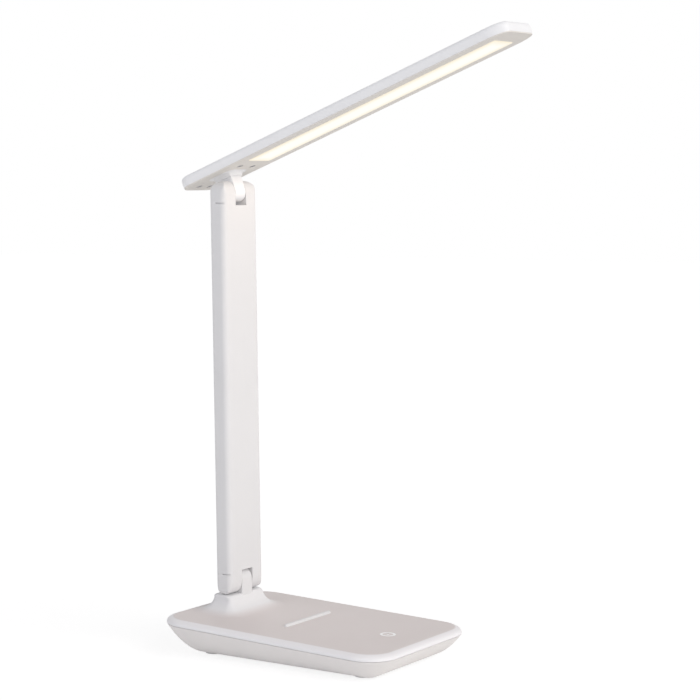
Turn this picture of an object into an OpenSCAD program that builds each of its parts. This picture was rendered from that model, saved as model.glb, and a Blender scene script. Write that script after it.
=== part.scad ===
// Folding LED desk lamp: a weighted base with a raised neck, an upright arm and a slim light head.
// Two friction hinges fold the arm forward over the base and the head against the arm.
// Frame: x = 0 on both hinge axes, y = 0 on the plane of symmetry, z = 0 on the desk,
// +X towards the front of the base, +Z up. Millimetres.

/* [Base] */
// Length of the base from back to front
base_length = 188.4; // [176:1:230]
// Width of the base
base_width = 119.4; // [110:1:150]
// Distance from the hinge axis back to the rear edge
base_rear = 30; // [28:1:36]
// Corner radius of the base in plan
base_corner_r = 22; // [14:1:30]
// Height of the top face at the hinge
base_height = 26.6; // [25:0.1:34]
// Fall of the top face towards the front, in degrees
base_slope = 1.95; // [0.5:0.05:2.5]
// Height of the rounded rim above the seam
rim_height = 4.4; // [4.2:0.1:6]
// Inward reach of the rounded rim
rim_reach = 5.4; // [3:0.1:8]
// Inward reach of the curved underside at the front and the sides
keel_side = 26; // [20:0.5:30]
// Inward reach of the curved underside at the rear
keel_rear = 32.5; // [28:0.5:36]
// Roundness of the underside: 1 is a plain slope, more is fuller
keel_power = 2.2; // [1.6:0.1:3]
// Wall of the base mouldings
base_wall = 2.2; // [1.8:0.1:2.4]
// Width of the open line between the two base mouldings
seam_gap = 0.3; // [0.2:0.05:0.5]

/* [Neck] */
// Depth of the neck's top, front to back
neck_depth = 16.6; // [14:0.2:18]
// Width of the neck's top
neck_width = 39; // [36:0.2:42]
// Corner radius of the neck's top
neck_corner_r = 3; // [2:0.5:6]
// Height of the neck above the base's top face
neck_height = 12; // [9:0.2:16]
// Reach of the coved foot of the neck
neck_cove = 16.2; // [8:0.1:17]
// Rounding of the neck's shoulder
neck_shoulder = 1.2; // [0.4:0.1:2]
// Distance that the neck's middle lies behind the hinge axis
neck_back = 1.5; // [0:0.1:2]

/* [Arm] */
// Distance between the two hinge axes
arm_span = 274.5; // [200:1:320]
// Thickness of the arm, front to back
arm_depth = 13.5; // [12.8:0.1:15]
// Width of the arm
arm_width = 38.2; // [36:0.2:42]
// Radius of the arm's long edges at the front
arm_edge_r = 4.2; // [2:0.1:4.8]
// Radius of the arm's long edges at the back
arm_back_r = 3; // [1:0.1:3.2]
// Radius of the arm's top corners, seen from the front
arm_corner_r = 9; // [4:0.5:10]
// Radius of the arm's bottom corners, seen from the front
arm_foot_r = 3; // [1:0.5:9]
// Height of the rounding at each end, seen from the side
arm_end_rise = 9.5; // [7:0.5:11]
// Length of the arm past the upper hinge axis
arm_tip = 8; // [7.4:0.1:9]
// Wall of the arm mouldings
arm_wall = 2; // [1.6:0.1:2.1]

/* [Head] */
// Width of the head
head_width = 41.8; // [39:0.2:50]
// Overall thickness of the head
head_height = 7.9; // [7.9:0.1:9]
// Length of the head behind the hinge axis
head_rear = 30.4; // [28:0.2:36]
// Upward tilt of the head at rest, in degrees
head_tilt = 20.1; // [0:0.5:40]
// Distance from the hinge axis to the head's underside
head_offset = 12.7; // [12.4:0.1:16]
// Reach of the front corners across the head
head_front_r = 8; // [5:0.5:12]
// Reach of the front corners along the head
head_front_bow = 15; // [6:0.5:20]
// Corner radius at the rear of the head
head_rear_r = 11; // [6:0.5:14]
// Rounding of the head's top edge
head_edge = 2.7; // [0.6:0.1:3]
// Side wall of the head's top shell
head_wall = 1.8; // [1.4:0.1:2]
// Distance from the hinge axis forward to the lit window
window_start = 29; // [27:0.5:60]
// Length of the lit window
window_length = 209.6; // [150:0.5:240]
// Width of the lit window
window_width = 23.4; // [16:0.2:26]
// Width of the frame in front of the lit window
window_margin = 14.2; // [9:0.1:20]

/* [Hinges] */
// Width of the tongue in each fork
tongue_width = 11.6; // [11:0.1:14]
// Gap between a tongue and each cheek of its fork
tongue_gap = 0.3; // [0.3:0.05:0.5]
// Height of the base hinge axis above the neck
hinge_rise = 8.9; // [8.5:0.1:12]
// Radius of the hinge pins
pin_r = 2; // [1.5:0.1:2.2]
// Radial running clearance of the pins in the fork
pin_clearance = 0.05; // [0.02:0.01:0.1]
// Thickness of the cheek that each pin turns in
cheek_wall = 2.2; // [1.6:0.1:2.4]
// Radius of the wire channel through the tongues
channel_r = 2.2; // [1.5:0.1:2.4]

/* [Base details] */
// Distance from the hinge axis to the device rest
rest_x = 59.4; // [45:1:80]
// Length of the device rest
rest_length = 53; // [30:1:70]
// Thickness of the device rest
rest_depth = 2.4; // [1.2:0.1:3]
// Height of the device rest
rest_height = 1.6; // [0.8:0.1:2]
// Distance from the front edge to the centre of the touch key
key_setback = 32; // [28:0.5:40]
// Radius of the touch key's lens
key_r = 6; // [4:0.25:9]
// Radius of the rubber feet
foot_r = 6.5; // [5:0.25:7]
// Thickness of the counterweight
weight_height = 5; // [3:0.5:6]
// Thickness of the battery pack
battery_height = 7; // [5:0.5:7.5]

/* [Hidden] */
$fn = 48;

// Small fits
skin = 0.01;          // thickness of the slices that a hull joins
cut = 1;              // how far a cutter runs past what it opens
fit = 0.15;           // side clearance of a part in its recess
press = 0.02;         // radial clearance of a pin or screw in its own hole
swing_gap = 0.4;      // gap under the arm's end as it swings

// Base
base_front = base_length - base_rear;
seam_z = base_height - rim_height;
seam_shift = -rim_height * sin(base_slope);
tray_z = 1.35;
floor_z = tray_z + base_wall;
keel_steps = 8;
rim_steps = 7;
rim_power = 3;        // 2 would make the rim an ellipse; more is fuller
rim_stop = 55;        // where the curve ends, which leaves a soft crease
lip_height = 1.6;
lip_width = base_wall / 2;
cover_inner = -base_wall;

// Hinges
hinge_z = base_height + neck_height + hinge_rise;
upper_z = hinge_z + arm_span;
tongue_r = arm_depth / 2 - 0.05;
slot_width = tongue_width + 2 * tongue_gap;
slot_over_low = tongue_r + 1.2;
slot_over_high = tongue_r + 2.3;
pin_root = channel_r + 0.6;
cheek_in = slot_width / 2;
cheek_out = cheek_in + cheek_wall;
axial_gap = 0.05;
thrust_height = 0.2;
thrust_r = 5;
spring_height = 0.55;
spring_r = 3.9;
spring_dish = 0.15;
spring_count = 2;
nut_height = 3.2;
nut_flats = 2 * pin_r + 3;
pin_end = cheek_out + axial_gap + spring_count * spring_height + nut_height + 0.8;
room_end = pin_end + 0.6;

// Arm
arm_low = hinge_z - hinge_rise + swing_gap;
arm_high = upper_z + arm_tip;
cheek_room_r = arm_depth / 2 - arm_wall;
arm_inner_y = arm_width / 2 - arm_wall;
web_low = hinge_z + slot_over_low;
web_high = upper_z - slot_over_high;
bay_low = web_low + arm_wall;
bay_high = web_high - arm_wall;
back_height = 1.8;
back_width = arm_width - 2 * arm_edge_r - 1.4;
back_ledge = 1.2;
back_margin = 2;
rib_end = 2 * back_margin + 4;
rib_depth = 1.6;
mark_length = 6.2;
mark_height = 0.5;
mark_depth = 0.25;
mark_offset = 1.7;
mark_x = -0.6;
wire_r = 1.1;

// Head, in its own frame: x along the head, z square to it, origin on the upper hinge axis
head_front = window_start + window_length + window_margin;
head_top = head_offset + head_height;
rim_step = 0.7;
rim_inset = 0.45;
shell_draft = 0.3;
bezel_height = 2.2;
bezel_in = head_offset + bezel_height;
bezel_lip = 1;
head_roof = 2;
head_ceiling = head_top - head_roof;
window_front = window_start + window_length;
panel_border = 2;
guide_height = 2.4;
reflector_height = 0.4;
diffuser_height = bezel_height - bezel_lip;
guide_z = bezel_in;
reflector_z = guide_z + guide_height;
spreader_z = reflector_z + reflector_height;
spreader_height = head_ceiling - spreader_z;
guide_width = window_width + 2 * panel_border;
strip_height = 0.4;
chip_height = 0.85;
chip_length = 3;
chip_width = 1.4;
chip_count = 24;
strip_y = guide_width / 2 + 0.15;
flange_wall = 0.8;
flange_height = 2.1;
flange_width = 22;
flange_rear = head_rear - 4;
flange_front = window_start - panel_border - 5;
collar_wall = 3.3;
collar_lip = 1.2;
post_r = 3;
corner_step = 11.25;
collar_rise = 3;
stem_depth = 2 * tongue_r;
screw_front = [flange_front - 4.6, 7.3];
screw_rear = [4.1 - flange_rear, 5.7];
screw_depth = 1.3;

// Screws: self-tapping, with a pan head in a round recess: thread radius, head radius, head height
head_screw = [1.1, 2.2, 1.1];
tray_screw = [1.4, 2.9, 1.8];
screw_chamfer = 0.3;
screw_cross = 0.5;
head_bite = 0.8;      // how far the screws run into the head's roof
tray_bite = 5;        // and into the cover's bosses

// Base details
foot_height = 2.6;
foot_x = [-base_rear + keel_rear - 3, base_front - keel_side - 6];
foot_y = base_width / 2 - keel_side - 4.2;
boss_x = [foot_x[0] + foot_r + 8, foot_x[1] - foot_r - 8];
boss_y = foot_y - 2;
boss_r = 4.2;
boss_split = 13;
boss_seat = tray_z + 3.2;
weight_x = [boss_x[0] + boss_r + 1, boss_x[1] - boss_r - 1];
weight_width = 2 * foot_y;
battery_length = 62;
battery_width = 40;
key_x = base_front - key_setback;
key_height = 0.6;
stud_height = 3.4;
touch_board_size = [26, 24, 1.2];
inlet_setback = 8.6;
inlet_x = inlet_setback - base_rear;
inlet_z = 0.62 * base_height;
inlet_size = [7.4, 8.94, 3.16];
inlet_shell = 0.3;
inlet_pocket = [12.4, 7];
inlet_wall = 1;
inlet_tongue = [6.7, 0.7];
board_height = 1.6;
board_top = inlet_z - inlet_size[2] / 2;
board_x = [inlet_x + base_wall + 1.6, 12];
board_width = 28;
board_chip = [7, 5, 1.2];

// ---------- shared shapes ----------

// Rectangle with round corners, from x0 to x1 and centred on y = 0
module rounded_rect(x0, x1, w, r) {
    translate([x0 + r, -w / 2]) square([x1 - x0 - 2 * r, w]);
    translate([x0, -w / 2 + r]) square([x1 - x0, w - 2 * r]);
    for (x = [x0 + r, x1 - r], y = [r - w / 2, w / 2 - r]) translate([x, y]) circle(r);
}

// The base's top face is a plane that falls towards the front
module on_top_face() {
    translate([0, 0, base_height]) rotate([0, base_slope, 0]) children();
}

// The light head's own frame
module on_head() {
    translate([0, 0, upper_z]) rotate([0, -head_tilt, 0]) children();
}

// A copy on each side of the plane of symmetry
module both_sides() {
    children();
    mirror([0, 1, 0]) children();
}

// Points of one rounded rectangle, counter-clockwise from above
function ring(hx, hy, r, z, n = 7) = [
    for (q = [0:3], i = [0:n]) let (a = 90 * (q + i / n))
        [(q == 0 || q == 3 ? 1 : -1) * (hx - r) + r * cos(a), (q < 2 ? 1 : -1) * (hy - r) + r * sin(a), z]
];

// Closed skin through a stack of rings
module loft(rings) {
    n = len(rings[0]);
    m = len(rings);
    polyhedron(
        points = [for (r = rings) each r],
        faces = concat(
            [[for (i = [0:n - 1]) i]],
            [for (k = [0:m - 2], i = [0:n - 1]) let (j = (i + 1) % n)
                [k * n + i, (k + 1) * n + i, (k + 1) * n + j, k * n + j]],
            [[for (i = [n - 1:-1:0]) (m - 1) * n + i]]
        )
    );
}

// Post that flows out of a face at z = 0 in a hollow curve: half sizes hx and hy and corner
// radius r at the top, reach at the foot, a rounded shoulder, a root sunk below the face, and
// back, the line behind which the foot is cut straight
module coved_post(hx, hy, r, reach, rise, shoulder, root, back = 1000) {
    fall = rise - shoulder;
    function at(d, z) = [for (p = ring(hx + d, hy + d, r + d, z)) [max(p[0], -back), p[1], p[2]]];
    loft(concat(
        [at(reach, -root)],
        [for (t = [90:-11.25:0]) at(reach * (1 - cos(t)), fall * (1 - sin(t)))],
        [for (t = [30:30:90]) at(shoulder * (cos(t) - 1), fall + shoulder * sin(t))]
    ));
}

// Half of a hinge's hardware lies on +Y; both_sides() makes the other
module along_y(y0, y1, r) {
    translate([0, y1, 0]) rotate([90, 0, 0]) cylinder(h = y1 - y0, r = r);
}

module tube_along_y(y0, y1, r, hole) {
    difference() {
        along_y(y0, y1, r);
        along_y(y0 - cut, y1 + cut, hole);
    }
}

module hinge_pins() {
    both_sides() along_y(pin_root, pin_end, pin_r);
}

module thrust_washers() {
    both_sides() tube_along_y(tongue_width / 2, tongue_width / 2 + thrust_height, thrust_r, pin_r + press);
}

// Dished spring washers, stacked rim to rim
module spring_washers() {
    y0 = cheek_out + axial_gap;
    hole = pin_r + press;
    both_sides() rotate([-90, 0, 0]) for (i = [0:spring_count - 1])
        translate([0, 0, y0 + i * spring_height]) rotate_extrude() polygon([
            [hole, i % 2 ? 0 : spring_dish], [spring_r, i % 2 ? spring_dish : 0],
            [spring_r, spring_height - (i % 2 ? 0 : spring_dish)],
            [hole, spring_height - (i % 2 ? spring_dish : 0)]
        ]);
}

module hinge_nuts() {
    y0 = cheek_out + axial_gap + spring_count * spring_height;
    both_sides() difference() {
        translate([0, y0 + nut_height, 0]) rotate([90, 0, 0])
            cylinder(h = nut_height, r = nut_flats / sqrt(3), $fn = 6);
        along_y(y0 - cut, y0 + nut_height + cut, pin_r + press);
    }
}

// Round-ended tongue on a hinge axis at the origin, with its stem towards -Z down to z = -reach
module tongue(reach) {
    along_y(-tongue_width / 2, tongue_width / 2, tongue_r);
    translate([-tongue_r, -tongue_width / 2, -reach]) cube([2 * tongue_r, tongue_width, reach]);
}

// Holes of a tongue: two blind pin holes and the wire channel along the stem
module tongue_holes(reach) {
    both_sides() along_y(pin_root, tongue_width, pin_r + press);
    translate([0, 0, -reach]) cylinder(h = reach + tongue_r + cut, r = channel_r);
}

// Self-tapping screw, head down, its head's seat at z = 0
module screw(size, length) {
    cylinder(h = length, r = size[0]);
    difference() {
        translate([0, 0, -size[2]]) cylinder(h = size[2], r1 = size[1] - screw_chamfer, r2 = size[1]);
        for (a = [0, 90]) rotate([0, 0, a]) translate([-size[1] * 0.6, -screw_cross / 2, -size[2] - cut])
            cube([size[1] * 1.2, screw_cross, size[2] * 0.55 + cut]);
    }
}

// ---------- base ----------

// Solid under the top face with a rounded rim; inset draws it in, drop lowers its top,
// and its bottom lies at bottom_z
module rim_form(inset, drop, bottom_z) {
    hull() {
        translate([0, 0, bottom_z]) linear_extrude(skin) base_plan(inset, inset);
        for (i = [1:rim_steps]) let (c = rim_curve(i / rim_steps), d = inset + rim_reach * c[0])
            translate([0, 0, -rim_height + (rim_height - drop) * c[1] - skin]) linear_extrude(skin)
                base_plan(d, d);
    }
}

// Inward and upward share of the rim's curve at t, from its foot at 0 to the top face at 1
function rim_curve(t) = let (a = rim_stop * t, k = 2 / rim_power)
    [(1 - pow(cos(a), k)) / (1 - pow(cos(rim_stop), k)), pow(sin(a) / sin(rim_stop), k)];

module base_plan(side, rear) {
    corner = max(base_corner_r - side, 0.8);
    rounded_rect(rear - base_rear, base_front - side, base_width - 2 * side, corner, $fn = 32);
}

// Curved underside as a stack of plans between the seam and the flat bottom
module keel_form(inset, top_z, bottom_z) {
    hull() for (i = [0:keel_steps])
        let (s = i / keel_steps, left = pow(1 - s, keel_power), z = bottom_z + (top_z - bottom_z) * left)
            translate([seam_shift, 0, z - skin]) rotate([0, base_slope * left, 0]) linear_extrude(skin)
                base_plan(inset + keel_side * s, inset + keel_rear * s);
}

module at_bosses() {
    for (x = boss_x, y = [-boss_y, boss_y]) translate([x, y, 0]) children();
}

module at_feet() {
    for (x = foot_x, y = [-foot_y, foot_y]) translate([x, y, 0]) children();
}

// Ring round the seam, between two distances in from the edge, with its top above the seam
module lip(outer, inner, root) {
    translate([0, 0, -rim_height - root]) linear_extrude(lip_height + root) difference() {
        base_plan(outer, outer);
        base_plan(inner, inner);
    }
}

module device_rest() {
    root = 0.5;
    end_y = (rest_length - rest_depth) / 2;
    translate([rest_x, 0, -root]) hull() for (y = [-end_y, end_y]) translate([0, y, 0]) {
        cylinder(h = rest_height + root - rest_depth / 4, d = rest_depth, $fn = 24);
        cylinder(h = rest_height + root, d = rest_depth / 2, $fn = 24);
    }
}

module base_top_cover() {
    neck_room = neck_height - base_wall - 1;
    color("white") difference() {
        union() {
            on_top_face() {
                difference() {
                    rim_form(0, 0, seam_gap - rim_height);
                    difference() {
                        rim_form(base_wall, base_wall, -rim_height - cut);
                        translate([key_x, 0, 0]) touch_studs();
                    }
                    lip(base_wall - lip_width - fit, base_wall + cut, cut);
                }
                translate([-neck_back, 0, 0]) coved_post(neck_depth / 2, neck_width / 2, neck_corner_r,
                    neck_cove, neck_height, neck_shoulder, 1, base_rear - rim_reach - neck_back);
                device_rest();
            }
            translate([0, 0, hinge_z]) tongue(hinge_rise + neck_shoulder + 1);
            for (x = boss_x, y = [-boss_y, boss_y]) translate([x, y, boss_split])
                cylinder(h = base_height - base_wall / 2 - x * tan(base_slope) - boss_split, r = boss_r);
        }
        // room inside the neck, open to the base
        on_top_face() translate([0, 0, cover_inner - cut]) linear_extrude(base_wall + cut + neck_room)
            rounded_rect(base_wall - neck_depth / 2 - neck_back, neck_depth / 2 - base_wall - neck_back,
                neck_width - 2 * base_wall, 1.5);
        translate([0, 0, hinge_z]) tongue_holes(hinge_rise + neck_shoulder + base_wall + 2);
        on_top_face() translate([key_x, 0, -key_height]) cylinder(h = key_height + cut, r = key_r + fit / 3);
        at_bosses() translate([0, 0, boss_split - cut])
            cylinder(h = tray_bite + 2 * cut, r = tray_screw[0] + press);
    }
}

// Studs under the cover that carry the touch board
module touch_studs() {
    for (x = [-1, 1] * (touch_board_size[0] / 2 - 2.5))
        translate([x, 0, cover_inner - stud_height]) cylinder(h = stud_height + 0.5, r = 1.8);
}

module base_tray() {
    color("gainsboro") difference() {
        union() {
            difference() {
                keel_form(0, seam_z, tray_z);
                difference() {
                    keel_form(base_wall, seam_z + cut, floor_z);
                    at_bosses() cylinder(h = boss_split, r = boss_r);
                    at_feet() cylinder(h = foot_height + base_wall, r = foot_r + base_wall);
                    board_posts();
                    inlet_block();
                }
            }
            on_top_face() lip(base_wall - lip_width, base_wall - skin, 0.5);
        }
        at_bosses() cylinder(h = boss_split + cut, r = tray_screw[0] + 0.2);
        at_bosses() cylinder(h = boss_seat, r = tray_screw[1] + 2 * fit);
        at_feet() cylinder(h = foot_height, r = foot_r + fit);
        inlet_opening();
    }
}

module board_posts() {
    for (x = [board_x[0] + 4, board_x[1] - 3], y = [-1, 1] * (board_width / 2 - 3.5))
        translate([x, y, 0]) cylinder(h = board_top - board_height, r = 2.4);
}

// Solid stuff round the inlet's pocket, as deep as the wall behind it
module inlet_block() {
    translate([-base_rear, -inlet_pocket[0] / 2 - inlet_wall, inlet_z - inlet_pocket[1] / 2 - inlet_wall])
        cube([inlet_setback + base_wall, inlet_pocket[0] + 2 * inlet_wall, inlet_pocket[1] + 2 * inlet_wall]);
}

// Finger-wide pocket in the rear slope and the hole that the inlet's shell fills
module inlet_opening() {
    translate([inlet_x - base_rear, 0, inlet_z]) rotate([90, 0, 90]) linear_extrude(base_rear)
        inlet_outline(inlet_pocket[0], inlet_pocket[1]);
    translate([inlet_x - cut, 0, inlet_z]) rotate([90, 0, 90]) linear_extrude(base_wall + 2 * cut)
        inlet_outline(inlet_size[1] + 2 * fit, inlet_size[2] + 2 * fit);
}

// Slot shape with round ends, drawn across the inlet
module inlet_outline(w, h) {
    square([w - h, h], center = true);
    for (x = [-1, 1] * (w - h) / 2) translate([x, 0]) circle(h / 2);
}

module power_inlet() {
    color("silver") translate([inlet_x, 0, inlet_z]) rotate([90, 0, 90]) {
        linear_extrude(inlet_size[0]) difference() {
            inlet_outline(inlet_size[1], inlet_size[2]);
            inlet_outline(inlet_size[1] - 2 * inlet_shell, inlet_size[2] - 2 * inlet_shell);
        }
        translate([0, 0, inlet_size[0] - 1]) linear_extrude(1)
            inlet_outline(inlet_size[1] - 2 * inlet_shell, inlet_size[2] - 2 * inlet_shell);
        translate([0, 0, inlet_size[0] / 2])
            cube([inlet_tongue[0], inlet_tongue[1], inlet_size[0] - 2], center = true);
    }
}

module charging_board() {
    color("darkgreen") translate([board_x[0], -board_width / 2, board_top - board_height])
        cube([board_x[1] - board_x[0], board_width, board_height]);
    color("black") for (y = [-1, 1] * board_width / 4)
        translate([board_x[1] - board_chip[0] - 2, y - board_chip[1] / 2, board_top]) cube(board_chip);
}

module counterweight() {
    color("dimgray") translate([0, 0, floor_z]) linear_extrude(weight_height)
        rounded_rect(weight_x[0], weight_x[1], weight_width, 3);
}

module battery_pack() {
    x0 = (weight_x[0] + weight_x[1] - battery_length) / 2;
    color("steelblue") translate([x0, 0, floor_z + weight_height])
        linear_extrude(battery_height) rounded_rect(0, battery_length, battery_width, 2);
}

module touch_board() {
    color("darkgreen") on_top_face() translate([key_x, 0, cover_inner - stud_height - touch_board_size[2]])
        linear_extrude(touch_board_size[2]) square([touch_board_size[0], touch_board_size[1]], center = true);
}

module touch_electrode() {
    color("goldenrod") on_top_face() translate([key_x, 0, cover_inner - stud_height])
        cylinder(h = stud_height, r = key_r);
}

module touch_key_lens() {
    color("whitesmoke") on_top_face() translate([key_x, 0, -key_height]) cylinder(h = key_height, r = key_r);
}

module tray_screws() {
    color("gray") at_bosses() translate([0, 0, boss_seat])
        screw(tray_screw, boss_split + tray_bite - boss_seat);
}

module rubber_feet() {
    color("lightgray") at_feet() {
        cylinder(h = 0.5, r1 = foot_r - 0.5, r2 = foot_r);
        translate([0, 0, 0.5]) cylinder(h = foot_height - 0.5, r = foot_r);
    }
}

module at_lower_hinge() {
    translate([0, 0, hinge_z]) children();
}

module lower_hinge_pins() {
    color("silver") at_lower_hinge() hinge_pins();
}

module lower_thrust_washers() {
    color("ivory") at_lower_hinge() thrust_washers();
}

module lower_spring_washers() {
    color("silver") at_lower_hinge() spring_washers();
}

module lower_hinge_nuts() {
    color("silver") at_lower_hinge() hinge_nuts();
}

// ---------- arm ----------

// Side view of the arm: straight, with elliptical ends
module arm_side() {
    h = arm_depth / 2;
    steps = 12;
    polygon(concat(
        [for (i = [0:steps]) let (a = 180 * i / steps)
            [h * cos(a), arm_high - arm_end_rise + arm_end_rise * sin(a)]],
        [for (i = [0:steps]) let (a = 180 + 180 * i / steps)
            [h * cos(a), arm_low + arm_end_rise + arm_end_rise * sin(a)]]
    ));
}

module arm_form() {
    intersection() {
        translate([0, arm_width / 2, 0]) rotate([90, 0, 0]) linear_extrude(arm_width) arm_side();
        translate([-arm_depth / 2, 0, 0]) rotate([90, 0, 90]) linear_extrude(arm_depth)
            translate([0, arm_low]) rotate([0, 0, 90]) {
                rounded_rect(0, (arm_high - arm_low) / 2, arm_width, arm_foot_r);
                rounded_rect((arm_high - arm_low) / 4, arm_high - arm_low, arm_width, arm_corner_r);
            }
        translate([0, 0, arm_low]) linear_extrude(arm_high - arm_low) {
            rounded_rect(-arm_depth / 2, arm_depth / 2, arm_width, arm_edge_r);
            rounded_rect(-arm_depth / 2, arm_depth / 2 - arm_edge_r, arm_width, arm_back_r);
        }
    }
}

// Room for the washers and nuts inside one pair of cheeks, from the pin towards the bay
module cheek_rooms(axis_z, bay_z) {
    both_sides() translate([0, 0, axis_z]) {
        along_y(cheek_out, room_end, cheek_room_r);
        translate([-cheek_room_r, cheek_out, min(0, bay_z - axis_z)])
            cube([2 * cheek_room_r, room_end - cheek_out, abs(bay_z - axis_z)]);
    }
}

module arm_shell() {
    color("white") difference() {
        arm_form();
        translate([0, 0, bay_low]) linear_extrude(bay_high - bay_low)
            rounded_rect(-cheek_room_r, cheek_room_r, 2 * arm_inner_y, 1.5);
        // open at the back, with a rebate for the cover
        back_panel(back_width - 2 * back_ledge, back_ledge, arm_wall + cut);
        back_panel(back_width + 2 * fit, -fit, back_height);
        cheek_rooms(hinge_z, bay_low + cut);
        cheek_rooms(upper_z, bay_high - cut);
        // forks
        translate([-arm_depth, -slot_width / 2, arm_low - cut])
            cube([2 * arm_depth, slot_width, web_low - arm_low + cut]);
        translate([-arm_depth, -slot_width / 2, web_high]) cube([2 * arm_depth, slot_width, arm_high]);
        for (z = [hinge_z, upper_z]) translate([0, 0, z])
            along_y(-cheek_out - cut, cheek_out + cut, pin_r + pin_clearance);
        for (z = [web_low - cut, bay_high - cut]) translate([0, 0, z])
            cylinder(h = arm_wall + 2 * cut, r = channel_r);
        // snap marks on the narrow sides
        for (z = [web_low - mark_offset, web_high + mark_offset], m = [0, 1]) mirror([0, m, 0])
            translate([mark_x, arm_width / 2 - mark_depth, z - mark_height / 2])
                cube([mark_length, cut, mark_height]);
    }
}

// Outline of the back cover, cut to a depth from the arm's back
module back_panel(width, shrink, depth) {
    translate([-arm_depth / 2, 0, 0]) rotate([90, 0, 90]) linear_extrude(depth)
        translate([0, bay_low + back_margin + shrink]) rotate([0, 0, 90])
            rounded_rect(0, bay_high - bay_low - 2 * (back_margin + shrink), width, 3);
}

module arm_back_cover() {
    rib_y = back_width / 2 - back_ledge - fit - 1;
    color("white") {
        back_panel(back_width, 0, back_height);
        // clip ribs that hold the cover in the opening
        both_sides() translate([back_height - arm_depth / 2 - skin, rib_y, bay_low + rib_end])
            cube([rib_depth, 1, bay_high - bay_low - 2 * rib_end]);
    }
}

module arm_wires() {
    color("firebrick") both_sides()
        translate([cheek_room_r - wire_r - press, wire_r + press, bay_low])
            cylinder(h = bay_high - bay_low, r = wire_r);
}

// ---------- head ----------

// Plan of the head, drawn in by inset
module head_plan(inset) {
    front = [head_front_bow, head_front_r] - [inset, inset];
    rear = head_rear_r - inset;
    w = head_width / 2 - inset;
    x0 = inset - head_rear;
    x1 = head_front - inset;
    side = concat(
        [for (a = [0:corner_step:90]) [x1 - front[0] * (1 - cos(a)), w - front[1] * (1 - sin(a))]],
        [for (a = [0:corner_step:90]) [x0 + rear * (1 - sin(a)), w - rear * (1 - cos(a))]]
    );
    polygon(concat(side, [for (i = [len(side) - 1:-1:0]) [side[i][0], -side[i][1]]]));
}

module head_layer(z, height, inset) {
    translate([0, 0, z]) linear_extrude(height) head_plan(inset);
}

module head_top_shell() {
    rim_z = head_offset + rim_step;
    color("white") on_head() difference() {
        hull() {
            head_layer(rim_z, skin, shell_draft);
            for (a = [0:22.5:90])
                head_layer(head_top - head_edge * (1 - sin(a)) - skin, skin, head_edge * (1 - cos(a)));
        }
        difference() {
            head_layer(rim_z - cut, head_ceiling - rim_z + cut, head_wall);
            at_head_screws() translate([0, 0, bezel_in + flange_height]) cylinder(h = head_top, r = post_r);
        }
        at_head_screws() cylinder(h = head_ceiling + 1, r = head_screw[0] + press);
    }
}

module at_head_screws() {
    for (y = [-1, 1]) {
        translate([screw_front[0], y * screw_front[1], 0]) children();
        translate([screw_rear[0], y * screw_rear[1], 0]) children();
    }
}

module window_plan(border) {
    translate([window_start - border, -window_width / 2 - border])
        square([window_length + 2 * border, window_width + 2 * border]);
}

module head_bezel() {
    color("whitesmoke") on_head() difference() {
        union() {
            head_layer(head_offset, rim_step, rim_inset);
            head_layer(head_offset, bezel_height, head_wall + fit);
            translate([0, 0, head_offset]) mirror([0, 0, 1])
                coved_post(tongue_r + collar_lip, tongue_width / 2 + collar_lip, 2,
                    collar_wall - collar_lip, collar_rise, 0.5, 1);
        }
        translate([0, 0, head_offset - cut]) linear_extrude(bezel_height + 2 * cut) window_plan(0);
        translate([0, 0, head_offset + bezel_lip]) linear_extrude(bezel_height)
            window_plan(panel_border + fit);
        translate([0, 0, head_offset - collar_rise - cut])
            linear_extrude(collar_rise + bezel_height + 2 * cut)
                square([stem_depth + 2 * fit, tongue_width + 2 * fit], center = true);
        at_head_screws() cylinder(h = head_offset + screw_depth, r = head_screw[1] + 2 * fit);
        at_head_screws() cylinder(h = bezel_in + cut, r = head_screw[0] + 0.2);
    }
}

module head_knuckle() {
    color("white") on_head() difference() {
        union() {
            mirror([0, 0, 1]) tongue(bezel_in + flange_height);
            translate([0, 0, bezel_in]) linear_extrude(flange_height)
                rounded_rect(-flange_rear, flange_front, flange_width, 4);
        }
        mirror([0, 0, 1]) tongue_holes(bezel_in + flange_height + cut);
        at_head_screws() cylinder(h = head_top, r = head_screw[0] + 0.2);
    }
}

module diffuser_panel() {
    color("lightyellow") on_head() translate([0, 0, bezel_in - diffuser_height])
        linear_extrude(diffuser_height) window_plan(panel_border);
}

module light_guide() {
    color("azure", 0.6) on_head() translate([0, 0, guide_z]) linear_extrude(guide_height)
        window_plan(panel_border);
}

module reflector_sheet() {
    color("white") on_head() translate([0, 0, reflector_z]) linear_extrude(reflector_height)
        window_plan(panel_border);
}

// Folded plate over the light guide; its two flanges carry the LED strips
module heat_spreader() {
    flange_y = strip_y + chip_height + strip_height;
    color("silver") on_head() {
        translate([window_start - panel_border, -flange_y - flange_wall, spreader_z])
            cube([window_length + 2 * panel_border, 2 * (flange_y + flange_wall), spreader_height]);
        both_sides() translate([window_start - panel_border, flange_y, guide_z])
            cube([window_length + 2 * panel_border, flange_wall, spreader_z - guide_z]);
    }
}

module led_strips() {
    chip_pitch = window_length / chip_count;
    color("lemonchiffon") on_head() both_sides() {
        translate([window_start, strip_y + chip_height, guide_z])
            cube([window_length, strip_height, guide_height]);
        for (i = [0:chip_count - 1])
            translate([window_start + (i + 0.5) * chip_pitch - chip_length / 2, strip_y, guide_z + 0.5])
                cube([chip_length, chip_height, chip_width]);
    }
}

module head_screws() {
    color("gray") on_head() at_head_screws() translate([0, 0, head_offset + screw_depth])
        screw(head_screw, head_ceiling + head_bite - head_offset - screw_depth);
}

module at_upper_hinge() {
    on_head() children();
}

module upper_hinge_pins() {
    color("silver") at_upper_hinge() hinge_pins();
}

module upper_thrust_washers() {
    color("ivory") at_upper_hinge() thrust_washers();
}

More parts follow.
